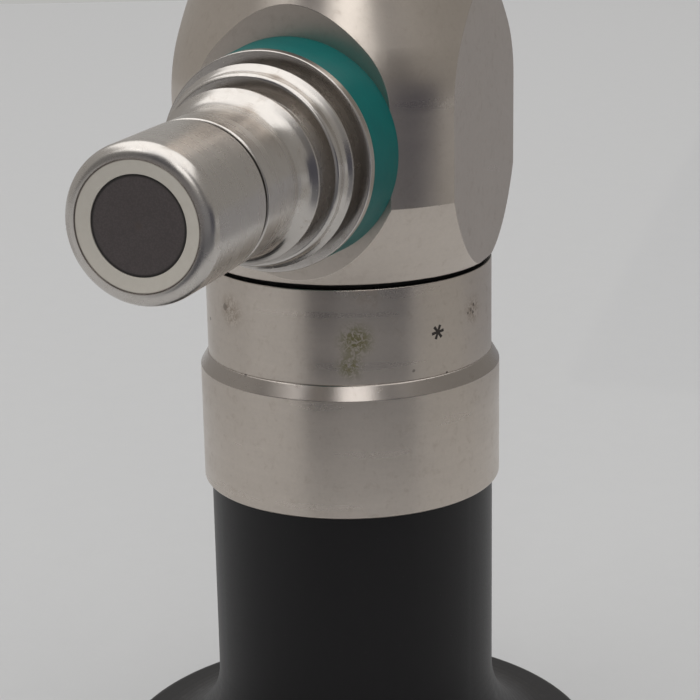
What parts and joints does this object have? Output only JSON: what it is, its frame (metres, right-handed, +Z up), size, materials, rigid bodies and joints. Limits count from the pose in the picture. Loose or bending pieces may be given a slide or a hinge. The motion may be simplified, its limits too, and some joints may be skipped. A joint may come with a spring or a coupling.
{
  "type": "rigid endoscope",
  "caption": "Straight-looking rigid endoscope: rod-lens shaft and hub, steel housing with flats and a side light post, colour ring, steel collar and flared eyepiece cup.",
  "frame": {"origin": "centre of the eyepiece cup's rim plane, on the optical axis", "axes": "+Z up the optical axis towards the shaft's tip, -Y out along the light post"},
  "size_m": [0.032, 0.046, 0.2449],
  "materials": {
    "satin_steel": "satin turned stainless steel",
    "polished_steel": "fine turned stainless steel",
    "black_plastic": "matte moulded",
    "green_plastic": "smooth",
    "optical_glass": "polished",
    "fibre_glass": "ground fibre ends",
    "seal_rubber": "matte",
    "blackened_metal": "black anodised"
  },
  "bodies": {
    "root": {"eyepiece_body": "black_plastic", "eyepiece_collar": "satin_steel", "joint_seal": "seal_rubber", "ocular_barrel": "blackened_metal", "housing": "satin_steel", "optic_mount": "blackened_metal", "shaft_hub": "satin_steel", "outer_tube": "satin_steel", "inner_tube": "satin_steel", "fibre_bundle": "fibre_glass", "post_base": "polished_steel", "colour_ring": "green_plastic", "tip_adapter": "satin_steel", "tip_seal": "seal_rubber", "fibre_sleeve": "satin_steel", "light_guide": "fibre_glass", "window_seal": "seal_rubber", "eyepiece_window": "optical_glass", "window_ring": "blackened_metal", "eye_lens": "optical_glass", "lens_spacer": "blackened_metal", "field_lens": "optical_glass", "lens_retainer": "blackened_metal", "distal_window": "optical_glass", "objective_ring": "blackened_metal", "objective_lens": "optical_glass", "field_stop": "blackened_metal", "rod_spacer_1": "blackened_metal", "rod_spacer_2": "blackened_metal", "rod_spacer_3": "blackened_metal", "rod_spacer_4": "blackened_metal", "rod_spacer_5": "blackened_metal", "rod_spacer_6": "blackened_metal", "rod_spacer_7": "blackened_metal", "rod_lens_1": "optical_glass", "rod_lens_2": "optical_glass", "rod_lens_3": "optical_glass", "rod_lens_4": "optical_glass", "rod_lens_5": "optical_glass", "rod_lens_6": "optical_glass"}
  },
  "joints": []
}
